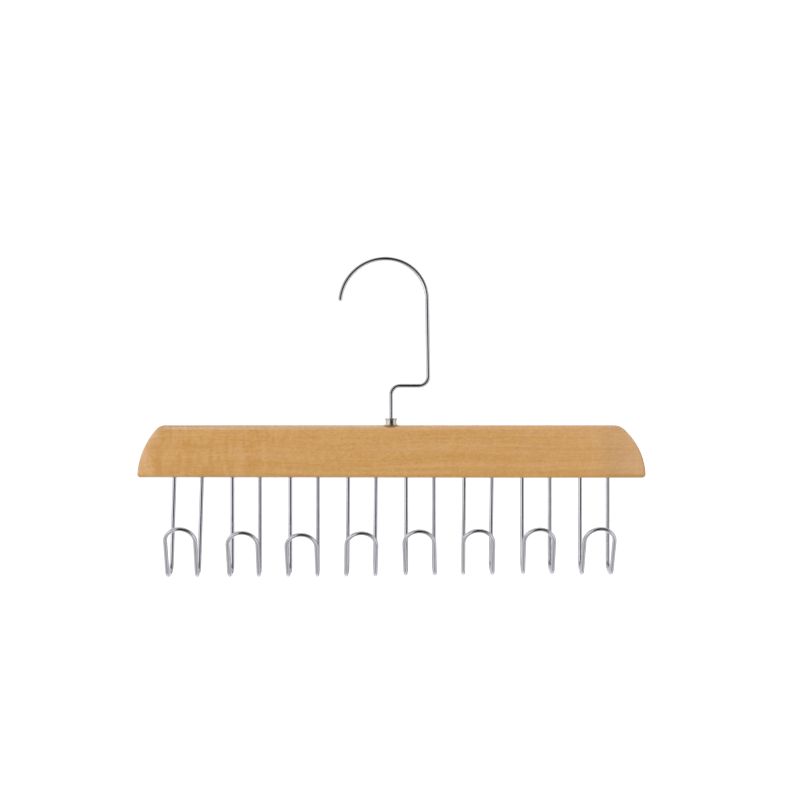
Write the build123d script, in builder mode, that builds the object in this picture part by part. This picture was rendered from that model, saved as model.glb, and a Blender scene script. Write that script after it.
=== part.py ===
from build123d import *
from math import asin, cos, degrees, radians, sin, tan
import os

# A wooden tie hanger: a bar with a wire hook that swivels above it and a row of
# bent wire double hooks below it.
# X runs along the bar, the loops of the tie hooks reach towards -Y, and Z is up.
# The origin lies on the swivel axis, level with the underside of the hook's crown,
# where a wardrobe rail carries the hanger.

# Bar. Its length is measured along the bottom, between the corners before they are rounded.
bar_length = 350.0
bar_height = 36.0
bar_thickness = 14.0
bar_left_end_radius = 49.0
bar_right_end_radius = 44.5
bar_top_corner = 8.0
bar_bottom_corner = 3.5
bar_edge_round = 3.0

# Hook wire
hook_wire = 3.0
crown_rise = 115.0
crank_rise = 27.3
crank_bend_radius = 6.2
riser_arc_radius = 28.7
riser_lean_angle = 0.8
crown_offset = 3.8
tip_arc_radius = 31.5
tip_sweep_angle = 86.0
tip_round = 1.1

# Formed head at the stem's lower end
head_width = 5.0
head_height = 1.8
head_round = 0.7

# Ferrule
collar_height = 4.8
collar_width = 7.5
rim_width = 8.5
rim_height = 1.2
rim_round = 0.35
flange_width = 8.9
flange_height = 0.8
shank_width = 7.0
shank_length = 15.0
shoulder_depth = 6.0
barb_count = 6
barb_pitch = 1.9
barb_depth = 0.45
swivel_clearance = 0.08
head_side_clearance = 0.3
head_end_play = 0.1
ferrule_fit = 0.04
ferrule_hole_relief = 1.0

# Tie hooks
tie_hook_count = 8
end_margin = 35.0
tie_wire = 2.8
leg_spacing = 19.0
leg_set_depth = 16.0
leg_fit = 0.05
leg_end_chamfer = 0.3
loop_drop = 66.6
loop_height = 34.2
loop_width = 20.0
loop_lean_angle = 32.0
bend_radius = 7.2
bend_flat = 0.4
loop_crown_radius = 9.5
loop_crown_half_turn = 45.0
loop_slack = 0.4
leg_straight = 2.0
leg_lean_radius = 30.0

# The tie hooks are set by hand, so each stands a little off the pattern.
# From left to right: how deep it hangs, how tall its loop is, how far its legs lean
# to the right and how far its loop leans to the right of them.
drop_shares = [1.016, 1.015, 1.013, 1.011, 1.0, 0.994, 0.986, 0.991]
rise_shares = [1.08, 1.0, 0.956, 0.984, 1.0, 1.0, 1.01, 1.03]
leg_lean_shares = [-0.105, 0.0, 0.0, -0.03, 0.0, -0.04, 0.0, 0.0]
side_lean_shares = [0.09, 0.055, 0.015, 0.055, -0.05, -0.04, -0.05, -0.035]

# Cutters run past the faces they cut by this much
overrun = 1.0

# Levels that the pieces share
crown_level = hook_wire / 2
bar_top = crown_level - crown_rise
bar_bottom = bar_top - bar_height
ferrule_bore_radius = hook_wire / 2 + swivel_clearance
head_room_radius = head_width / 2 + head_side_clearance
shoulder_level = bar_top - shoulder_depth
head_top = shoulder_level - head_end_play
leg_top = bar_bottom + leg_set_depth
tie_hook_pitch = (bar_length - 2 * end_margin) / (tie_hook_count - 1)

os.makedirs("parts", exist_ok=True)


# Bar: the outline seen from the front, drawn out to the bar's thickness.
# Each end is one arc that leaves the bottom edge upright and sweeps in to the top edge.
# The ends are sanded by hand, and the right one is the rounder.
left_sweep = degrees(asin(bar_height / bar_left_end_radius))
right_sweep = degrees(asin(bar_height / bar_right_end_radius))

with BuildPart() as bar:
    with BuildSketch(Plane.XZ) as bar_face:
        with BuildLine() as bar_outline:
            left_end = JernArc((-bar_length / 2, bar_bottom), (0, 1), bar_left_end_radius, -left_sweep)
            right_end = JernArc((bar_length / 2, bar_bottom), (0, 1), bar_right_end_radius, right_sweep)
            Line(left_end @ 1, right_end @ 1)
            Line(left_end @ 0, right_end @ 0)
        make_face()
        fillet(bar_face.vertices().group_by(Axis.Y)[-1], bar_top_corner)
        fillet(bar_face.vertices().group_by(Axis.Y)[0], bar_bottom_corner)
    extrude(amount=bar_thickness / 2, both=True)
    face_edges = bar.faces().filter_by(Axis.Y).edges()
    fillet(face_edges, bar_edge_round)
    # Blind hole for the ferrule's shank
    with BuildSketch(Plane.XY.offset(bar_top + overrun)):
        Circle(shank_width / 2 + ferrule_fit)
    extrude(amount=-(overrun + shank_length + ferrule_hole_relief), mode=Mode.SUBTRACT)
    # Blind holes for the legs of the tie hooks
    with BuildSketch(Plane.XY.offset(bar_bottom - overrun)):
        with GridLocations(tie_hook_pitch, bar_thickness, tie_hook_count, 1):
            with GridLocations(leg_spacing, bar_thickness, 2, 1):
                Circle(tie_wire / 2 + leg_fit)
    extrude(amount=overrun + leg_set_depth, mode=Mode.SUBTRACT)

bar.part.label = "bar"
export_step(bar.part, "parts/bar.step")


# Ferrule: a flanged bush turned about the swivel axis.
# A rim, a waisted collar and a flange stand on the bar, and the ringed shank goes into it.
collar_top = bar_top + collar_height
shank_bottom = bar_top - shank_length

with BuildPart() as ferrule:
    with BuildSketch(Plane.XZ) as ferrule_half:
        with BuildLine():
            Polyline(
                (ferrule_bore_radius, collar_top),
                (rim_width / 2, collar_top),
                (rim_width / 2, collar_top - rim_height),
                (collar_width / 2, collar_top - rim_height),
                (collar_width / 2, bar_top + flange_height),
                (flange_width / 2, bar_top + flange_height),
                (flange_width / 2, bar_top),
                (shank_width / 2, bar_top),
                (shank_width / 2, shank_bottom),
                (head_room_radius, shank_bottom),
                (head_room_radius, shoulder_level),
                (ferrule_bore_radius, shoulder_level),
                close=True,
            )
        make_face()
        rim_corners = [v for v in ferrule_half.vertices() if abs(v.X) > collar_width / 2 and v.Y > bar_top]
        fillet(rim_corners, rim_round)
    revolve(axis=Axis.Z)
    # Ring barbs: V grooves round the shank, one under the other
    with BuildSketch(Plane.XZ):
        for barb in range(barb_count):
            groove_top = bar_top - barb_pitch * (barb + 1)
            with BuildLine():
                Polyline(
                    (shank_width / 2 + overrun, groove_top),
                    (shank_width / 2 - barb_depth, groove_top),
                    (shank_width / 2, groove_top - barb_pitch / 2),
                    (shank_width / 2 + overrun, groove_top - barb_pitch / 2),
                    close=True,
                )
            make_face()
    revolve(axis=Axis.Z, mode=Mode.SUBTRACT)

ferrule.part.label = "ferrule"
export_step(ferrule.part, "parts/ferrule.step")


# Swivel hook: one wire. The stem rises from its head through the ferrule, turns into the
# crank, rises again at the side, leaning in a little, and goes over the rail in two arcs.
crank_level = bar_top + crank_rise
lean = radians(riser_lean_angle)
riser_top = crown_level - riser_arc_radius * (1 - sin(lean))
riser_top_x = riser_arc_radius * cos(lean) - crown_offset
riser_foot_x = riser_top_x + (riser_top - crank_level) * tan(lean)
riser_direction = (-sin(lean), cos(lean))
riser_arc_sweep = 90 - riser_lean_angle

with BuildPart() as swivel_hook:
    with BuildLine(Plane.XZ) as hook_path:
        FilletPolyline(
            (0, head_top),
            (0, crank_level),
            (riser_foot_x, crank_level),
            (riser_top_x, riser_top),
            radius=crank_bend_radius,
        )
        JernArc((riser_top_x, riser_top), riser_direction, riser_arc_radius, riser_arc_sweep)
        tip_arc = JernArc((-crown_offset, crown_level), (-1, 0), tip_arc_radius, tip_sweep_angle)
    with BuildSketch(Plane.XY.offset(head_top)):
        Circle(hook_wire / 2)
    sweep(path=hook_path.wires()[0])
    tip_point = tip_arc @ 1
    tip_face = swivel_hook.faces().filter_by(GeomType.PLANE).sort_by_distance(tip_point)[0]
    fillet(tip_face.edges(), tip_round)
    # The head is upset from the same wire
    with BuildSketch(Plane.XY.offset(head_top - head_height)):
        Circle(head_width / 2)
    extrude(amount=head_height)
    head_rim = swivel_hook.edges().group_by(Axis.Z)[0]
    fillet(head_rim, head_round)

swivel_hook.part.label = "swivel_hook"
export_step(swivel_hook.part, "parts/swivel_hook.step")


# Tie hooks: one wire each, round a skeleton of straight runs with rounded corners.
# The bend under each leg is split into two corners, the arch into a shoulder, a crown
# and a shoulder.
def tie_hook_route(centre, drop, rise, leg_lean, side_lean):
    """Corners of one tie hook's centre line, and the rounding radius of each inner corner."""
    half_turn = (180 - loop_lean_angle) / 2
    corner_reach = bend_radius * tan(radians(half_turn / 2))
    bend_run = 2 * corner_reach + bend_flat
    lowest = bar_bottom - drop
    rear_corner_level = lowest + tie_wire / 2 + bend_radius - corner_reach
    front_corner_y = -bend_run * sin(radians(half_turn))
    front_corner_level = rear_corner_level - bend_run * cos(radians(half_turn))

    # Reaches are measured up the leaning limb from the front corner. The sides of the
    # arch are two slopes that would meet in a peak above the rounded crown.
    crown_level_here = lowest + rise - tie_wire / 2
    crown_reach = (crown_level_here - front_corner_level) / cos(radians(loop_lean_angle))
    peak_reach = crown_reach + loop_crown_radius * (1 / cos(radians(loop_crown_half_turn)) - 1)
    shoulder_reach = peak_reach - loop_width / 2 * tan(radians(loop_crown_half_turn))

    # The shoulder's radius takes what the crown's tangent leaves of each slope
    slope_run = loop_width / 2 / cos(radians(loop_crown_half_turn))
    crown_tangent = loop_crown_radius * tan(radians(loop_crown_half_turn))
    shoulder_turn = 90 - loop_crown_half_turn
    shoulder_radius = (slope_run - crown_tangent - loop_slack) / tan(radians(shoulder_turn / 2))

    def on_limb(reach):
        y = front_corner_y - reach * sin(radians(loop_lean_angle))
        z = front_corner_level + reach * cos(radians(loop_lean_angle))
        return y, z

    def one_side(side):
        leg_x = centre + side * leg_spacing / 2
        limb_x = centre + side * loop_width / 2 + leg_lean
        side_corners = [
            (leg_x, 0, leg_top),
            (leg_x + leg_lean, 0, rear_corner_level),
            (limb_x, front_corner_y, front_corner_level),
            (limb_x + side_lean, *on_limb(shoulder_reach)),
        ]
        if leg_lean:
            side_corners.insert(1, (leg_x, 0, bar_bottom - leg_straight))
        return side_corners

    peak = (centre + leg_lean + side_lean, *on_limb(peak_reach))
    corners = [*one_side(1), peak, *reversed(one_side(-1))]
    side_radii = [bend_radius, bend_radius, shoulder_radius]
    if leg_lean:
        side_radii.insert(0, leg_lean_radius)
    return corners, [*side_radii, loop_crown_radius, *reversed(side_radii)]


def hand_set(shares, number):
    """The share of one hook, starting again where the list ends."""
    return shares[number % len(shares)]


for number in range(tie_hook_count):
    hook_centre = (number - (tie_hook_count - 1) / 2) * tie_hook_pitch
    route_corners, route_radii = tie_hook_route(
        hook_centre,
        drop=loop_drop * hand_set(drop_shares, number),
        rise=loop_height * hand_set(rise_shares, number),
        leg_lean=leg_spacing * hand_set(leg_lean_shares, number),
        side_lean=loop_width * hand_set(side_lean_shares, number),
    )
    with BuildPart() as tie_hook:
        with BuildLine() as tie_path:
            FilletPolyline(*route_corners, radius=route_radii)
        with BuildSketch(Plane.XY.offset(leg_top)):
            with Locations((hook_centre + leg_spacing / 2, 0)):
                Circle(tie_wire / 2)
        sweep(path=tie_path.wires()[0])
        leg_ends = tie_hook.edges().group_by(Axis.Z)[-1]
        chamfer(leg_ends, leg_end_chamfer)
    node_name = f"tie_hook_{number + 1}"
    tie_hook.part.label = node_name
    export_step(tie_hook.part, f"parts/{node_name}.step")
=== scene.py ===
"""Looks of a wooden tie hanger: a lacquered bar, a swivel hook in its ferrule and a row of
bright wire tie hooks, over a pale floor in soft studio light.

Lengths are metres. X runs along the bar, the loops of the tie hooks reach towards -Y, and
Z is up. The origin lies on the swivel axis, under the crown of the hook."""

import math

import bmesh
import bpy
import numpy as np
from bpy.props import FloatProperty, FloatVectorProperty, PointerProperty
from bpy.types import Operator, Panel, PropertyGroup
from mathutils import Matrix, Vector


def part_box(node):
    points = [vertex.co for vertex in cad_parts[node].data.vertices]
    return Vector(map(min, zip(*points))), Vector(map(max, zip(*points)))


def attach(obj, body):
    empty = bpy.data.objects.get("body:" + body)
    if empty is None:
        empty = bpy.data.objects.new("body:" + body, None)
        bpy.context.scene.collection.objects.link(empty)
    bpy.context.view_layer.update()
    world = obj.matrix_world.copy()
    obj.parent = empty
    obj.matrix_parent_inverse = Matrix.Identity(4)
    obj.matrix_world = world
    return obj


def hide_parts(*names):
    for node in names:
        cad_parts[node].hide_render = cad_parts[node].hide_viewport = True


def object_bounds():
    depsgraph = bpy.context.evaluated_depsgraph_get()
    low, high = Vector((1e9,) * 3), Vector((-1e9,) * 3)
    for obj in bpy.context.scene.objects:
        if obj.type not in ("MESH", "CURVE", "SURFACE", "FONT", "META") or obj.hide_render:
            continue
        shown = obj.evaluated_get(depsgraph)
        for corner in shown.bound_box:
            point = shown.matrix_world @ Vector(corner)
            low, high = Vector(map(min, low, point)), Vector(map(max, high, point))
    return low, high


bl_info = {
    "name": "Tie Hanger Looks",
    "version": (1, 0, 0),
    "blender": (4, 5, 0),
    "location": "View3D > Sidebar > Tie Hanger",
    "description": "Builds the surfaces and finishes of a wooden tie hanger and its stage",
    "category": "Object",
}

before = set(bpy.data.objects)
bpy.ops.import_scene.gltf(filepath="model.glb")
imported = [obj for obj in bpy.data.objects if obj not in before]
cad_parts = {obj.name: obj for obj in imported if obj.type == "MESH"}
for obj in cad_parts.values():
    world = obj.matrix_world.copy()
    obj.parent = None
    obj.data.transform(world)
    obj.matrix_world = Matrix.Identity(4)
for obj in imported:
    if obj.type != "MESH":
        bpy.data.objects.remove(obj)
CAD_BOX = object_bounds()
BAR_LOW, BAR_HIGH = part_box("bar")
TIE_HOOKS = sorted(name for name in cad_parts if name.startswith("tie_hook_"))

# Rows along the bar's grid, and columns round each part of its section
BAR_ROWS = 561
ROUNDING_COLUMNS = 15
FACE_COLUMNS = 17
EDGE_COLUMNS = 5

# The corners of the flat face are that share of the outline's own corners
FACE_CORNER_SHARE = 0.7

# The waves of the sanded edge: how many, the least and greatest length, and the seed of their draw
WAVE_COUNT = 3
WAVE_LENGTHS = (0.03, 0.12)
WAVE_SEED = 11

# The holes: sides of a drill, how far it runs out of the wood, and the room under the ferrule's shank
DRILL_SIDES = 40
DRILL_RUN_OUT = 0.001
SHANK_ROOM = 0.001

# What lies less than this under the bar's top isn't taken for the ferrule's shank
SHANK_TOP_MARGIN = 0.0001

# Points nearer together than this become one, and edges that bend by more than this stay sharp
MERGE_DISTANCE = 1e-7
SHARP_ANGLE = math.radians(40.0)

# The pith of the tree that the bar was cut from: in front of the bar's middle and under its bottom
PITH_AHEAD = 0.09
PITH_BELOW = 0.16

# How far the growth lines stray from true circles
GROWTH_SWAY = 0.012

# Changes per metre of the growth lines, along the bar and outwards from the pith
GROWTH_ALONG = 8.0
GROWTH_OUTWARDS = 540.0

# The curly figure fades between these two x, and the right end's painted sheen and shade start between
# those two
CURL_FADE = (-0.11, -0.04)
RIGHT_END_SHEEN_AND_SHADE = (0.137, 0.153)

# Blur of the ring of painted shade round the ferrule, inside and outside, and its lower and upper
# limit under the bar's top
PAINTED_SHADE_RING_BLUR = (0.0008, 0.0004)
PAINTED_SHADE_RING_DEPTHS = (0.0022, 0.0012)

# Ovals of the studio that the bright pieces mirror: azimuth from the camera's side towards the right,
# elevation, half width and half height in degrees, blur, and the share of light that each adds
STUDIO_PATCHES = {
    "bright panel at the front left": (-45, -16, 26, 18, 0.3, 0.35),
    "left wall": (-100, 0, 26, 70, 0.25, -0.2),
    "right wall": (98, 0, 30, 70, 0.25, -0.2),
    "dark room behind the camera": (-4, 2, 17, 62, 0.25, -0.95),
    "dark room right of the camera": (24, -10, 29, 30, 0.3, -0.95),
    "dark ceiling at the front right": (38, 40, 40, 26, 0.3, -0.9),
    "dim ceiling at the front left": (-38, 30, 34, 30, 0.3, -0.55),
    "dim floor at the front left": (-40, -36, 30, 18, 0.3, -0.5),
    "dark corner behind the right end": (137, 0, 16, 50, 0.3, -0.8),
    "dim corner behind the left end": (-137, -20, 16, 24, 0.3, -0.4),
    "grey spot on the floor at the right": (50, -72, 12, 16, 0.4, -0.4),
    "grey spot on the floor at the left": (-50, -72, 12, 16, 0.4, -0.4),
}

# Blur of the plane that parts each oval from its like on the far side
SIDE_BLUR = 0.02

# The light that the studio's floor lacks, and how bright the camera sees the white behind the hanger
FLOOR_SHADE = 0.3
BACKDROP_LIGHT = 1.15

# Place, width, height and power of the lamp that shades the wood, and of those that gleam in the
# lacquer alone, all aimed near the middle of the bar
LAMP_AIM = (0.0, 0.0, -0.13)
FRONT_FILL = ((-0.6, -0.9, 0.15), 0.8, 0.8, 1.6)
GLEAMS = {
    "left_gleam": ((-1.05, -0.26, 0.15), 1.2, 1.5, 6.8),
    "edge_gleam": ((-0.9, 0.8, 0.2), 1.0, 1.0, 4.0),
    "right_gleam": ((0.48, -0.80, -0.1), 0.36, 0.9, 2.9),
    "top_gleam": ((0.15, -0.12, 0.72), 1.6, 1.5, 14.0),
}

FLOOR_HALF_WIDTH = 30.0
SENSOR_WIDTH_MM = 36.0
PHOTO_WIDTH_PIXELS = 800

# The right end of the bar is mixed a little towards this black as painted shade
PAINTED_SHADE_BLACK = (0.0, 0.0, 0.0)
OPAQUE_WHITE = (1.0, 1.0, 1.0, 1.0)


# Settings


def length(name, description, default):
    """A property that holds a length."""
    return FloatProperty(name=name, description=description, default=default, unit="LENGTH")


def share(name, description, default):
    """A property that holds a share from 0 to 1."""
    return FloatProperty(
        name=name, description=description, default=default, min=0.0, max=1.0, subtype="FACTOR"
    )


def colour(name, description, default):
    """A property that holds a colour, in linear light."""
    return FloatVectorProperty(
        name=name, description=description, default=default, min=0.0, max=1.0, size=3, subtype="COLOR"
    )


class BarSettings(PropertyGroup):
    """Sizes and colours of the wooden bar."""

    left_end_radius: length("Left End Radius", "Radius of the left end's outline", 0.049)
    right_end_radius: length("Right End Radius", "Radius of the right end's outline", 0.0445)
    top_corner: length("Top Corner", "Radius where an end meets the top edge", 0.008)
    bottom_corner: length("Bottom Corner", "Radius where an end meets the bottom edge", 0.0024)
    left_sanding: length("Left Sanding", "Reach of the rounding at the left end", 0.0115)
    right_sanding: length("Right Sanding", "Reach of the rounding at the right end", 0.0024)
    top_left_sanding: length("Top Left Sanding", "Reach of the top's rounding at the left", 0.0041)
    top_right_sanding: length("Top Right Sanding", "Reach of the top's rounding at the right", 0.0033)
    bottom_sanding: length("Bottom Sanding", "Reach of the bottom edge's rounding", 0.0028)
    left_face_radius: length("Left Face Radius", "Radius of the flat face's left end", 0.1)
    depth_limit: length("Depth Limit", "Depth that a very wide rounding comes near", 0.0095)
    fullness: FloatProperty(
        name="Fullness",
        description="Power of the rounding's curve: 2 is an ellipse, less leaves the face sooner",
        default=1.65,
        min=1.1,
        max=3.0,
    )
    hand_wander: length("Hand Wander", "How much the sanded edge wanders", 0.00016)
    hole_clearance: length("Hole Clearance", "Room round a leg in its hole", 0.00005)
    hole_bevel: length("Hole Bevel", "Broken edge at the mouth of a hole", 0.0002)
    light_wood: colour("Light Wood", "Colour between the growth lines", (0.705, 0.406, 0.132))
    rosy_wood: colour("Rosy Wood", "Colour of the pinker patches there", (0.708, 0.390, 0.160))
    dark_wood: colour("Dark Wood", "Colour of the growth lines", (0.602, 0.292, 0.064))
    lacquer: share("Lacquer", "Weight of the clear coat", 0.9)
    # Reach of the ring of painted shade round the ferrule's foot
    foot_shade: length("Foot Shade", "How far the dark ring round the ferrule reaches", 0.0068)


class WireSettings(PropertyGroup):
    """Finish of the bright wires."""

    plate: colour("Plate", "Colour of the tie hooks' chrome plate", (0.700, 0.698, 0.745))
    hook_plate: colour("Hook Plate", "Colour of the swivel hook's chrome plate", (0.810, 0.807, 0.850))
    roughness: share("Roughness", "Roughness of the plate", 0.14)


class FerruleSettings(PropertyGroup):
    """Finish of the ferrule."""

    plate: colour("Plate", "Colour of the nickel plate", (0.72, 0.66, 0.60))
    roughness: share("Roughness", "Roughness of the plate", 0.16)


class StageSettings(PropertyGroup):
    """Floor, light and camera."""

    camera_distance: length("Camera Distance", "From the camera to the bar's front face", 0.8)
    camera_side: length("Camera Side", "How far right of the swivel axis the camera stands", 0.006213)
    camera_level: length("Camera Level", "Height of the camera", -0.09612)
    focal_pixels: FloatProperty(
        name="Focal Length in Pixels",
        description="Focal length of the photograph, in its own pixels",
        default=1169.0,
    )
    floor_drop: length("Floor Drop", "From the lowest loop to the floor", 0.6)
    floor_colour: colour("Floor Colour", "Colour of the floor", (0.93, 0.93, 0.93))
    light_strength: FloatProperty(
        name="Light Strength", description="Strength of all the light", default=1.0
    )
    soft_light: FloatProperty(
        name="Soft Light", description="Strength of the light that shades the wood", default=1.1
    )


# Shader nodes


class Value:
    """A shader socket that takes part in sums: each operator adds a Math node."""

    def __init__(self, tree, socket):
        self.tree = tree
        self.socket = socket

    def math(self, operation, *operands):
        """A Math node on the operands, in their order."""
        return self.tree.node("ShaderNodeMath", {"operation": operation}, dict(enumerate(operands)))

    def __add__(self, other):
        return self.math("ADD", self, other)

    def __sub__(self, other):
        return self.math("SUBTRACT", self, other)

    def __rsub__(self, other):
        return self.math("SUBTRACT", other, self)

    def __mul__(self, other):
        return self.math("MULTIPLY", self, other)

    def __truediv__(self, other):
        return self.math("DIVIDE", self, other)

    def __rtruediv__(self, other):
        return self.math("DIVIDE", other, self)

    __radd__ = __add__
    __rmul__ = __mul__

    def root(self):
        """The square root."""
        return self.math("SQRT", self)

    def smooth(self, low, high, start=0.0, end=1.0):
        """Goes smoothly from start to end while the value goes from low to high."""
        sockets = {"Value": self, "From Min": low, "From Max": high, "To Min": start, "To Max": end}
        return self.tree.node("ShaderNodeMapRange", {"interpolation_type": "SMOOTHSTEP"}, sockets)


class Tree:
    """Builds the nodes of a material or of the world."""

    def __init__(self, owner):
        owner.use_nodes = True
        self.nodes = owner.node_tree.nodes
        self.links = owner.node_tree.links
        self.nodes.clear()

    def node(self, kind, settings=None, sockets=None, output=0):
        """Adds a node: first its settings, then its sockets by name or number, each a value or a
        link. Returns one output."""
        made = self.nodes.new(kind)
        for name, value in (settings or {}).items():
            setattr(made, name, value)
        for key, value in (sockets or {}).items():
            if isinstance(value, Value):
                self.links.new(value.socket, made.inputs[key])
            else:
                made.inputs[key].default_value = value
        return Value(self, made.outputs[output]) if made.outputs else made

    def axes(self, spot):
        """The x, y and z of a vector."""
        split = self.node("ShaderNodeSeparateXYZ", None, {"Vector": spot}).socket.node
        return [Value(self, split.outputs[axis]) for axis in range(3)]

    def along(self, spot, direction):
        """How far a vector reaches along a direction."""
        sockets = {0: spot, 1: direction}
        return self.node("ShaderNodeVectorMath", {"operation": "DOT_PRODUCT"}, sockets, "Value")

    def mix(self, factor, first, second):
        """Goes from the first colour to the second as factor goes from 0 to 1. The Mix node has its
        two colours at sockets 6 and 7, and its mixed colour at output 2."""
        ends = [end if isinstance(end, Value) else (*end, 1.0) for end in (first, second)]
        sockets = {0: factor, 6: ends[0], 7: ends[1]}
        return self.node("ShaderNodeMix", {"data_type": "RGBA"}, sockets, 2)

    def object_spot(self):
        """Object coordinates."""
        return self.node("ShaderNodeTexCoord", output="Object")

    def noise(self, spot, detail, roughness=0.5):
        """Cloudy pattern, about 0.5 on average."""
        sockets = {"Vector": spot, "Scale": 1.0, "Detail": detail, "Roughness": roughness}
        return self.node("ShaderNodeTexNoise", None, sockets)

    def clouds(self, along, across=None, shift=(0.0, 0.0, 0.0), detail=2.0, roughness=0.5):
        """Cloudy pattern on Object coordinates, with so many changes per metre along the bar and,
        where that differs, across it. The shift is in changes too."""
        across = across or along
        sockets = {"Vector": self.object_spot(), "Scale": (along, across, across), "Location": shift}
        return self.noise(self.node("ShaderNodeMapping", None, sockets), detail, roughness)

    def bump(self, height, depth, strength):
        """A relief of that depth in metres."""
        sockets = {"Strength": strength, "Distance": depth, "Height": height}
        return self.node("ShaderNodeBump", None, sockets)

    def finish(self, sockets):
        """The material's shader and its output."""
        surface = self.node("ShaderNodeBsdfPrincipled", None, sockets)
        self.node("ShaderNodeOutputMaterial", None, {"Surface": surface})


def new_material(name):
    """An empty material and its tree."""
    material = bpy.data.materials.new(name)
    return material, Tree(material)


def give_material(piece, material):
    """Makes it the piece's only material."""
    piece.data.materials.clear()
    piece.data.materials.append(material)


def dimmed(tone, light):
    """A colour with that share of its light."""
    return [light * part for part in tone]


# Finishes


def lacquered_wood(settings):
    """Close-grained wood under clear lacquer. The growth lines are shells about a pith that runs
    along the bar, well in front of it and below it, so they run along every side and cross the
    ends."""
    material, tree = new_material("lacquered_wood")
    x, y, z = tree.axes(tree.object_spot())

    sway = tree.clouds(along=7.0, across=30.0) - 0.5
    level = z - BAR_LOW.z + PITH_BELOW
    depth = y + PITH_AHEAD
    radius = (level * level + depth * depth).root() + sway * GROWTH_SWAY
    shells = {"X": x * GROWTH_ALONG, "Y": radius * GROWTH_OUTWARDS, "Z": 0.0}
    lines = tree.noise(tree.node("ShaderNodeCombineXYZ", None, shells), detail=3.0, roughness=0.6)
    broad = tree.clouds(along=6.0, across=130.0, shift=(0.3, 0.1, 0.7), detail=1.0)
    fibre = tree.clouds(along=200.0, across=1250.0, detail=3.0, roughness=0.6)
    mottle = tree.clouds(along=620.0, across=800.0, roughness=0.6)
    curl = tree.clouds(along=290.0, across=90.0, detail=1.0) - 0.5
    hue = tree.clouds(along=70.0, across=260.0, shift=(0.1, 0.6, 0.2), detail=3.0)
    fleck = tree.clouds(along=160.0, across=900.0).smooth(0.66, 0.76)

    # The weights add up to 2, so this is about 1 on average and the tone about 0.5
    even = lines * 0.52 + broad * 0.42 + fibre * 0.42 + mottle * 0.64
    curl_here = x.smooth(*CURL_FADE, 1.0, 0.25)
    tone = even + curl * curl_here * 0.6 - 0.5
    figure = tone.smooth(0.2, 0.8)

    # Painted light at the right end: rosier as painted sheen of the lacquer, and a little darker as
    # painted shade; elsewhere the rosy patches are the wood's own tone
    right_end_sheen_and_shade = x.smooth(*RIGHT_END_SHEEN_AND_SHADE)
    rosy_tone_and_sheen = hue.smooth(0.3, 0.7) * (1 - right_end_sheen_and_shade * 0.5) + right_end_sheen_and_shade * 0.5
    light = tree.mix(rosy_tone_and_sheen, settings.light_wood, settings.rosy_wood)
    wood = tree.mix(figure, settings.dark_wood, light)
    # Painted shade: the right end mixed a little towards black
    wood = tree.mix(right_end_sheen_and_shade * 0.12, wood, PAINTED_SHADE_BLACK)
    flecked = tree.mix(fleck * 0.45, wood, dimmed(settings.dark_wood, 0.8))

    # Painted shade: a dark ring on the top round the foot of the ferrule, where the ferrule shades the
    # wood and blocks the bright sheen in the lacquer; the coat is left off there too
    from_axis = (x * x + y * y).root()
    inside = settings.foot_shade - PAINTED_SHADE_RING_BLUR[0]
    outside = settings.foot_shade + PAINTED_SHADE_RING_BLUR[1]
    near_foot = from_axis.smooth(inside, outside, 1.0, 0.0)
    near_top = z.smooth(BAR_HIGH.z - PAINTED_SHADE_RING_DEPTHS[0], BAR_HIGH.z - PAINTED_SHADE_RING_DEPTHS[1])
    painted_shade_ring = near_foot * near_top
    shaded = tree.mix(painted_shade_ring * 0.75, flecked, dimmed(settings.dark_wood, 0.4))

    ripple = tree.clouds(90.0)
    tree.finish({
        "Base Color": shaded,
        "Roughness": fibre * 0.12 + 0.42,
        "Specular IOR Level": 0.2,
        "Coat Weight": (1 - painted_shade_ring) * settings.lacquer,
        "Coat Roughness": 0.16,
        "Coat IOR": 1.5,
        "Normal": tree.bump(ripple * 0.7 + fibre * 0.12 + lines * 0.18, depth=0.00005, strength=0.6),
    })
    return material


def plated_metal(name, plate, roughness):
    """Bright plate over drawn wire: a faint ripple in the plate, hazy patches and fine dots."""
    material, tree = new_material(name)
    haze = tree.clouds(140.0, detail=3.0)
    dots = tree.clouds(2100.0).smooth(0.66, 0.74)
    ripple = tree.clouds(260.0, shift=(0.4, 0.0, 0.2))
    tint = tree.mix(haze.smooth(0.3, 0.7), dimmed(plate, 0.93), plate)
    tree.finish({
        "Base Color": tree.mix(dots * 0.12, tint, dimmed(plate, 0.7)),
        "Metallic": 1.0,
        "Roughness": (haze - 0.5) * 0.12 + dots * 0.05 + roughness,
        "Normal": tree.bump(ripple, depth=0.00003, strength=0.2),
    })
    return material


def pale_paper(settings):
    """Faintly cloudy white paper that glows a little."""
    material, tree = new_material("pale_floor")
    clouds = tree.clouds(40.0, detail=4.0)
    tree.finish({
        "Base Color": tree.mix(clouds, dimmed(settings.floor_colour, 0.99), settings.floor_colour),
        "Roughness": 0.8,
        "Emission Color": OPAQUE_WHITE,
        "Emission Strength": 0.75,
    })
    return material


# The bar


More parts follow.
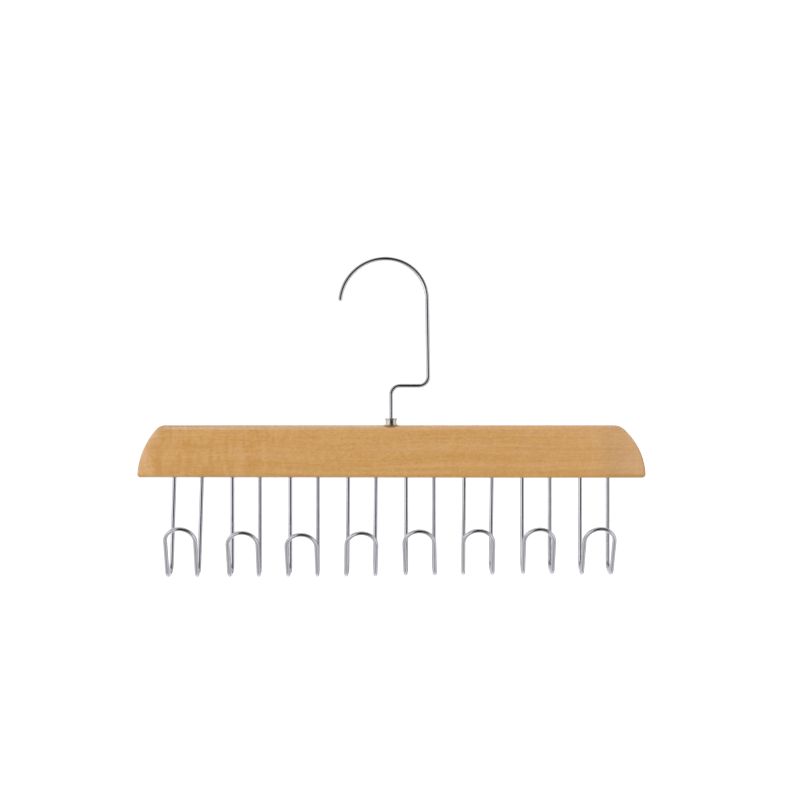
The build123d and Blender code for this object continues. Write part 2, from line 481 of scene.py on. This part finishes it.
def end_edges(inward, height, end_radius, top_corner, bottom_corner):
    """Upper and lower edge of one end, as heights above the bottom, at distances inward from its foot.

    The end is a circle of end_radius about a centre level with the bottom. Circles of the corner
    radii, each touching it from inside, lead over to the top line and the bottom line."""
    top_centre = end_radius - math.sqrt((end_radius - top_corner) ** 2 - (height - top_corner) ** 2)
    low_centre = end_radius - math.sqrt((end_radius - bottom_corner) ** 2 - bottom_corner**2)
    top_touch = end_radius * (1 + (top_centre - end_radius) / (end_radius - top_corner))
    low_touch = end_radius * (1 + (low_centre - end_radius) / (end_radius - bottom_corner))

    def circle(centre, radius):
        return np.sqrt(np.maximum(radius**2 - (inward - centre) ** 2, 0.0))

    upper = np.select(
        [inward < low_touch, inward < top_touch, inward < top_centre],
        [
            bottom_corner + circle(low_centre, bottom_corner),
            circle(end_radius, end_radius),
            height - top_corner + circle(top_centre, top_corner),
        ],
        height,
    )
    lower = np.where(inward < low_centre, bottom_corner - circle(low_centre, bottom_corner), 0.0)
    return upper, lower


def end_tip(end_radius, bottom_corner):
    """How far inward of its foot an end's outermost point lies."""
    return end_radius - math.sqrt((end_radius - bottom_corner) ** 2 - bottom_corner**2) - bottom_corner


def bar_outline(progress, left_foot, right_foot, height, radii, top_corner, bottom_corner):
    """X, upper height and lower height of an outline like the bar's, at shares of its length."""
    left_tip = left_foot + end_tip(radii[0], bottom_corner)
    right_tip = right_foot - end_tip(radii[1], bottom_corner)
    x = left_tip + (right_tip - left_tip) * progress
    left_upper, left_lower = end_edges(x - left_foot, height, radii[0], top_corner, bottom_corner)
    right_upper, right_lower = end_edges(right_foot - x, height, radii[1], top_corner, bottom_corner)
    return x, np.minimum(left_upper, right_upper), np.maximum(left_lower, right_lower)


def meet_at_tips(upper, lower):
    """The upper and lower heights of an outline, brought together at its two tips."""
    middle = (upper + lower) / 2
    tips = [0, -1]
    upper[tips] = middle[tips]
    lower[tips] = middle[tips]
    return upper, lower


def wander(x):
    """A slow uneven wave along the bar, from -1 to 1: the mean of a few sines whose lengths and
    starts are drawn."""
    draw = np.random.default_rng(WAVE_SEED)
    lengths = draw.uniform(*WAVE_LENGTHS, WAVE_COUNT)
    starts = draw.uniform(0.0, 2 * math.pi, WAVE_COUNT)
    waves = [np.sin(2 * math.pi * x / run + start) for run, start in zip(lengths, starts)]
    return np.mean(waves, axis=0)


def grid_faces(rows, columns):
    """Quads of a grid whose columns wrap round, as rows of four vertex numbers."""
    first = np.arange(rows - 1)[:, None] * columns + np.arange(columns)[None, :]
    beside = np.arange(rows - 1)[:, None] * columns + (np.arange(columns)[None, :] + 1) % columns
    return np.stack([first, beside, beside + columns, first + columns], axis=-1).reshape(-1, 4)


def mesh_from_grids(name, grids):
    """A smooth closed mesh from grids of points[row, column], whose columns wrap round. Points that
    fall together, as along a seam or at a pole, become one."""
    points = [grid.reshape(-1, 3) for grid in grids]
    starts = np.cumsum([0] + [len(rows) for rows in points])
    faces = [grid_faces(*grid.shape[:2]) + start for grid, start in zip(grids, starts)]
    mesh = bpy.data.meshes.new(name)
    mesh.from_pydata(np.concatenate(points), [], np.concatenate(faces))
    work = bmesh.new()
    work.from_mesh(mesh)
    bmesh.ops.remove_doubles(work, verts=work.verts, dist=MERGE_DISTANCE)
    bmesh.ops.dissolve_degenerate(work, edges=work.edges, dist=MERGE_DISTANCE)
    bmesh.ops.recalc_face_normals(work, faces=work.faces)
    work.to_mesh(mesh)
    work.free()
    mesh.polygons.foreach_set("use_smooth", np.ones(len(mesh.polygons), bool))
    piece = bpy.data.objects.new(name, mesh)
    bpy.context.scene.collection.objects.link(piece)
    return piece


def bar_surface(settings):
    """The bar as a grid: a row for each share of its length, a column for each place round its section.

    The front outline P is the bar's own; the face outline Q lies inside it and bounds the flat
    face. Between them the surface is a quarter of a superellipse of power n: in the face's plane
    Q + (P - Q) (sin a)^(2/n), in depth d (1 - (cos a)^(2/n)), where the depth d follows the width
    w = |P - Q| as w / (1 + w / limit)."""
    height = BAR_HIGH.z - BAR_LOW.z
    half_thickness = (BAR_HIGH.y - BAR_LOW.y) / 2
    radii = (settings.left_end_radius, settings.right_end_radius)
    left_foot = BAR_LOW.x - end_tip(radii[0], settings.bottom_corner)
    right_foot = BAR_HIGH.x + end_tip(radii[1], settings.bottom_corner)

    # Rows crowd together towards the ends, where the outline is steep
    progress = 0.5 - 0.5 * np.cos(np.linspace(0.0, math.pi, BAR_ROWS))
    outer_x, outer_upper, outer_lower = bar_outline(
        progress, left_foot, right_foot, height, radii, settings.top_corner, settings.bottom_corner
    )
    outer_upper, outer_lower = meet_at_tips(outer_upper, outer_lower)

    mean_top = (settings.top_left_sanding + settings.top_right_sanding) / 2
    face_height = height - mean_top - settings.bottom_sanding
    face_x, face_upper, face_lower = bar_outline(
        progress,
        left_foot + settings.left_sanding,
        right_foot - settings.right_sanding,
        face_height,
        (settings.left_face_radius, radii[1] - settings.right_sanding),
        settings.top_corner * FACE_CORNER_SHARE,
        settings.bottom_corner,
    )

    # The face's upper line slopes from one end's sanding to the other's and wanders a little
    slope = (settings.top_left_sanding - settings.top_right_sanding) * (progress - 0.5)
    uneven = slope + wander(face_x) * settings.hand_wander
    face_upper = face_upper + settings.bottom_sanding + uneven * (face_upper / face_height)
    face_upper, face_lower = meet_at_tips(face_upper, face_lower + settings.bottom_sanding)

    def rounding(outline_z, face_z):
        """Front half of the rounding, from the flat face out to the outline."""
        angle = np.linspace(0.0, math.pi / 2, ROUNDING_COLUMNS)[None, :]
        reach_x = (outer_x - face_x)[:, None]
        reach_z = (outline_z - face_z)[:, None]
        width = np.hypot(reach_x, reach_z)
        depth = width / (1 + width / settings.depth_limit)
        across = np.sin(angle) ** (2 / settings.fullness)
        inward = 1 - np.maximum(np.cos(angle), 0.0) ** (2 / settings.fullness)
        return np.stack(
            [
                face_x[:, None] + reach_x * across,
                -half_thickness + depth * inward,
                BAR_LOW.z + face_z[:, None] + reach_z * across,
            ],
            axis=-1,
        )

    def back_of(front):
        """The same columns on the back, from the outline in to the flat face."""
        return front[:, ::-1] * np.array([1.0, -1.0, 1.0])

    def between(first, last, count):
        """Points on the straight line between two columns, without its ends."""
        steps = np.linspace(0.0, 1.0, count + 2)[1:-1][None, :, None]
        return first[:, None] + (last - first)[:, None] * steps

    top_front = rounding(outer_upper, face_upper)
    low_front = rounding(outer_lower, face_lower)
    top_back = back_of(top_front)
    low_back = back_of(low_front)
    section = [
        between(low_front[:, 0], top_front[:, 0], FACE_COLUMNS),
        top_front,
        between(top_front[:, -1], top_back[:, 0], EDGE_COLUMNS),
        top_back,
        between(top_back[:, -1], low_back[:, -1], FACE_COLUMNS),
        low_back[:, ::-1],
        between(low_back[:, 0], low_front[:, -1], EDGE_COLUMNS),
        low_front[:, ::-1],
    ]
    return np.concatenate(section, axis=1)


def node_points(name):
    """The vertices of a CAD node, one row each."""
    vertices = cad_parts[name].data.vertices
    points = np.empty(3 * len(vertices))
    vertices.foreach_get("co", points)
    return points.reshape(-1, 3)


def leg_places(name):
    """The x of a tie hook's two legs, their radius and the height of their ends.

    The legs stand in the bar on the plane y = 0, so their radius is the farthest y."""
    points = node_points(name)
    inside = points[points[:, 2] > BAR_LOW.z]
    radius = inside[:, 1].max()
    return (inside[:, 0].min() + radius, inside[:, 0].max() - radius), radius, inside[:, 2].max()


def drill_surface(x, radius, mouth, end, bevel):
    """A drill's swept space: a profile of radii and heights turned round a vertical axis at x.

    It is radius wide from the hole's end to near its mouth, widens there by the bevel, and runs on
    out of the wood. Its first and last rows are poles."""
    outward = math.copysign(1.0, mouth - end)
    run_out = mouth + outward * DRILL_RUN_OUT
    radii = np.array([0.0, radius, radius, radius + bevel, radius + bevel, 0.0])[:, None]
    heights = np.array([end, end, mouth - outward * bevel, mouth, run_out, run_out])[:, None]
    turn = np.linspace(0.0, 2 * math.pi, DRILL_SIDES, endpoint=False)[None, :]
    return np.stack([x + radii * np.cos(turn), radii * np.sin(turn), heights + 0 * turn], axis=-1)


def drill_holes(bar, settings):
    """Cuts the ferrule's hole from above and a hole for every leg from below."""
    ferrule = node_points("ferrule")
    shank = ferrule[ferrule[:, 2] < BAR_HIGH.z - SHANK_TOP_MARGIN]
    shank_radius = np.hypot(shank[:, 0], shank[:, 1]).max() + settings.hole_clearance
    shank_end = shank[:, 2].min() - SHANK_ROOM
    drills = [drill_surface(0.0, shank_radius, BAR_HIGH.z, shank_end, settings.hole_bevel)]
    for name in TIE_HOOKS:
        places, radius, end = leg_places(name)
        hole_radius = radius + settings.hole_clearance
        drills += [drill_surface(x, hole_radius, BAR_LOW.z, end, settings.hole_bevel) for x in places]
    cutter = mesh_from_grids("drills", drills)
    cut = bar.modifiers.new("drills", "BOOLEAN")
    cut.operation = "DIFFERENCE"
    cut.solver = "EXACT"
    cut.object = cutter
    drilled = bpy.data.meshes.new_from_object(bar.evaluated_get(bpy.context.evaluated_depsgraph_get()))
    bar.modifiers.remove(cut)
    used = [bar.data, cutter.data]
    bpy.data.objects.remove(cutter)
    bar.data = drilled
    for mesh in used:
        bpy.data.meshes.remove(mesh)
    drilled.name = bar.name
    drilled.set_sharp_from_angle(angle=SHARP_ANGLE)


# Steps that dress the pieces


class HANGER_OT_build_bar(Operator):
    """Build the sanded, lacquered wooden bar with the holes for its wires"""

    bl_idname = "hanger.build_bar"
    bl_label = "Build Bar"

    def execute(self, context):
        settings = context.scene.hanger_bar
        bar = mesh_from_grids("wooden_bar", [bar_surface(settings)])
        drill_holes(bar, settings)
        give_material(bar, lacquered_wood(settings))
        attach(bar, "hanger")
        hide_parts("bar")
        return {"FINISHED"}


class HANGER_OT_plate_wires(Operator):
    """Give the tie hooks and the swivel hook their bright plate"""

    bl_idname = "hanger.plate_wires"
    bl_label = "Plate Wires"

    def execute(self, context):
        settings = context.scene.hanger_wire
        plate = plated_metal("tie_wire_chrome", settings.plate, settings.roughness)
        for name in TIE_HOOKS:
            give_material(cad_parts[name], plate)
        hook_plate = plated_metal("hook_wire_chrome", settings.hook_plate, settings.roughness)
        give_material(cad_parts["swivel_hook"], hook_plate)
        return {"FINISHED"}


class HANGER_OT_plate_ferrule(Operator):
    """Give the ferrule its nickel plate"""

    bl_idname = "hanger.plate_ferrule"
    bl_label = "Plate Ferrule"

    def execute(self, context):
        settings = context.scene.hanger_ferrule
        plate = plated_metal("ferrule_nickel", settings.plate, settings.roughness)
        give_material(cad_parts["ferrule"], plate)
        return {"FINISHED"}


# The stage


def oval_patch(tree, spot, azimuth, elevation, half_width, half_height, blur):
    """1 inside an oval of directions and 0 outside it, with angles as in STUDIO_PATCHES.

    The direction's reach along two axes square to the oval's middle, each as a share of the oval's
    half size, gives its spread: 1 on the rim, with the blur on both sides of it."""
    turn = math.radians(azimuth)
    climb = math.radians(elevation)
    ahead = (math.sin(turn) * math.cos(climb), -math.cos(turn) * math.cos(climb), math.sin(climb))
    aside = (math.cos(turn), math.sin(turn), 0.0)
    above = (-math.sin(turn) * math.sin(climb), math.cos(turn) * math.sin(climb), math.cos(climb))
    across = tree.along(spot, aside) / math.sin(math.radians(half_width))
    upward = tree.along(spot, above) / math.sin(math.radians(half_height))
    spread = (across * across + upward * upward).root()
    same_side = tree.along(spot, ahead).smooth(-SIDE_BLUR, SIDE_BLUR)
    return spread.smooth(1.0 - blur, 1.0 + blur, 1.0, 0.0) * same_side


def mirrored_studio(tree, spot):
    """What the plate and the lacquer mirror: a white studio, its floor a little grey straight below
    and from there towards the camera, with the patches over it all."""
    _, y, z = tree.axes(spot)
    in_front = y.smooth(-0.3, 0.15, 1.0, 0.0)
    below = z.smooth(-0.92, -0.7, 1.0, 0.0)
    light = 1 - below * in_front * FLOOR_SHADE
    for *oval, added in STUDIO_PATCHES.values():
        light = light * (1 + oval_patch(tree, spot, *oval) * added)
    return light


def shading_light(tree, spot, strength):
    """What shades the wood: light that is brightest from the front and next from behind, a little
    brighter from the right than from the left, and weak from above and from straight below."""
    x, y, z = tree.axes(spot)
    ahead = y.smooth(-0.9, -0.1, 1.4, 0.7) + y.smooth(0.1, 0.9, 0.0, 0.4)
    from_right = x.smooth(-0.8, 0.2, 0.78, 1.05)
    under_ceiling = z.smooth(0.0, 0.6, 1.0, 0.35)
    over_floor = z.smooth(-1.0, -0.35, 0.2, 1.0)
    return ahead * from_right * under_ceiling * over_floor * strength


def studio_world(strength, soft):
    """A world in which mirrored rays see the studio, other rays the light that shades the wood, and
    the camera plain white."""
    world = bpy.data.worlds.new("studio")
    tree = Tree(world)
    spot = tree.node("ShaderNodeTexCoord", output="Generated")
    shading = shading_light(tree, spot, soft)
    mirrored = tree.node("ShaderNodeLightPath", output="Is Glossy Ray")
    light = (mirrored_studio(tree, spot) - shading) * mirrored + shading

    def background(brightness):
        sockets = {"Color": OPAQUE_WHITE, "Strength": brightness}
        return tree.node("ShaderNodeBackground", None, sockets)

    to_camera = tree.node("ShaderNodeLightPath", output="Is Camera Ray")
    ends = {0: to_camera, 1: background(light * strength), 2: background(BACKDROP_LIGHT)}
    both = tree.node("ShaderNodeMixShader", None, ends)
    tree.node("ShaderNodeOutputWorld", None, {"Surface": both})
    return world


def pale_floor(settings):
    """A wide floor under the loops, which neither shows in the plate nor lights the wood."""
    half = FLOOR_HALF_WIDTH
    level = CAD_BOX[0].z - settings.floor_drop
    corners = [(-half, -half, level), (half, -half, level), (half, half, level), (-half, half, level)]
    mesh = bpy.data.meshes.new("floor")
    mesh.from_pydata(corners, [], [(0, 1, 2, 3)])
    floor = bpy.data.objects.new("floor", mesh)
    bpy.context.scene.collection.objects.link(floor)
    give_material(floor, pale_paper(settings))
    floor.visible_glossy = False
    floor.visible_diffuse = False
    return floor


def soft_box(name, strength, place, width, height, power):
    """A soft rectangular light at place, turned towards the bar and hidden from the camera."""
    lamp = bpy.data.lights.new(name, "AREA")
    lamp.shape = "RECTANGLE"
    lamp.size = width
    lamp.size_y = height
    lamp.energy = power * strength
    box = bpy.data.objects.new(name, lamp)
    box.location = place
    box.rotation_euler = (Vector(LAMP_AIM) - Vector(place)).to_track_quat("-Z", "Y").to_euler()
    box.visible_camera = False
    bpy.context.scene.collection.objects.link(box)
    return box


def light_bar(strength):
    """The lamp that shades the wood and doesn't show in the plate, and those that gleam in the
    lacquer alone."""
    fill = soft_box("front_fill", strength, *FRONT_FILL)
    fill.visible_glossy = False
    bar_only = bpy.data.collections.new("bar_only")
    bar_only.objects.link(bpy.data.objects["wooden_bar"])
    for name, lamp in GLEAMS.items():
        gleam = soft_box(name, strength, *lamp)
        gleam.visible_diffuse = False
        gleam.light_linking.receiver_collection = bar_only


def photograph_camera(settings):
    """A level camera at the photograph's place, looking along Y."""
    camera = bpy.data.objects.new("camera", bpy.data.cameras.new("camera"))
    camera.data.sensor_width = SENSOR_WIDTH_MM
    camera.data.lens = settings.focal_pixels * SENSOR_WIDTH_MM / PHOTO_WIDTH_PIXELS
    camera.location = (settings.camera_side, BAR_LOW.y - settings.camera_distance, settings.camera_level)
    camera.rotation_euler = (math.radians(90.0), 0.0, 0.0)
    bpy.context.scene.collection.objects.link(camera)
    return camera


class HANGER_OT_set_stage(Operator):
    """Lay the pale floor, set the light and stand the camera at the photograph's place"""

    bl_idname = "hanger.set_stage"
    bl_label = "Set Stage"

    def execute(self, context):
        scene = context.scene
        settings = scene.hanger_stage
        scene.world = studio_world(settings.light_strength, settings.soft_light)
        scene.view_settings.view_transform = "Standard"
        pale_floor(settings)
        light_bar(settings.light_strength)
        scene.camera = photograph_camera(settings)
        return {"FINISHED"}


# The add-on


class HANGER_PT_looks(Panel):
    """Lists the hanger's settings and the steps that build it"""

    bl_idname = "HANGER_PT_looks"
    bl_label = "Tie Hanger"
    bl_space_type = "VIEW_3D"
    bl_region_type = "UI"
    bl_category = "Tie Hanger"

    def draw(self, context):
        for operator, group_name in STEPS:
            box = self.layout.box()
            group = getattr(context.scene, group_name)
            for name in group.__annotations__:
                box.prop(group, name)
            box.operator(operator.bl_idname)


GROUPS = {
    "hanger_bar": BarSettings,
    "hanger_wire": WireSettings,
    "hanger_ferrule": FerruleSettings,
    "hanger_stage": StageSettings,
}
STEPS = (
    (HANGER_OT_build_bar, "hanger_bar"),
    (HANGER_OT_plate_wires, "hanger_wire"),
    (HANGER_OT_plate_ferrule, "hanger_ferrule"),
    (HANGER_OT_set_stage, "hanger_stage"),
)


def register():
    """Makes the classes known and gives each scene its settings."""
    for group in GROUPS.values():
        bpy.utils.register_class(group)
    for operator, _ in STEPS:
        bpy.utils.register_class(operator)
    bpy.utils.register_class(HANGER_PT_looks)
    for name, group in GROUPS.items():
        setattr(bpy.types.Scene, name, PointerProperty(type=group))


def unregister():
    """Undoes what register did, in reverse."""
    for name in GROUPS:
        delattr(bpy.types.Scene, name)
    bpy.utils.unregister_class(HANGER_PT_looks)
    for operator, _ in reversed(STEPS):
        bpy.utils.unregister_class(operator)
    for group in reversed(GROUPS.values()):
        bpy.utils.unregister_class(group)


def main():
    """Builds the looks."""
    register()
    bpy.ops.hanger.build_bar()
    bpy.ops.hanger.plate_wires()
    bpy.ops.hanger.plate_ferrule()
    bpy.ops.hanger.set_stage()


if __name__ == "__main__":
    main()
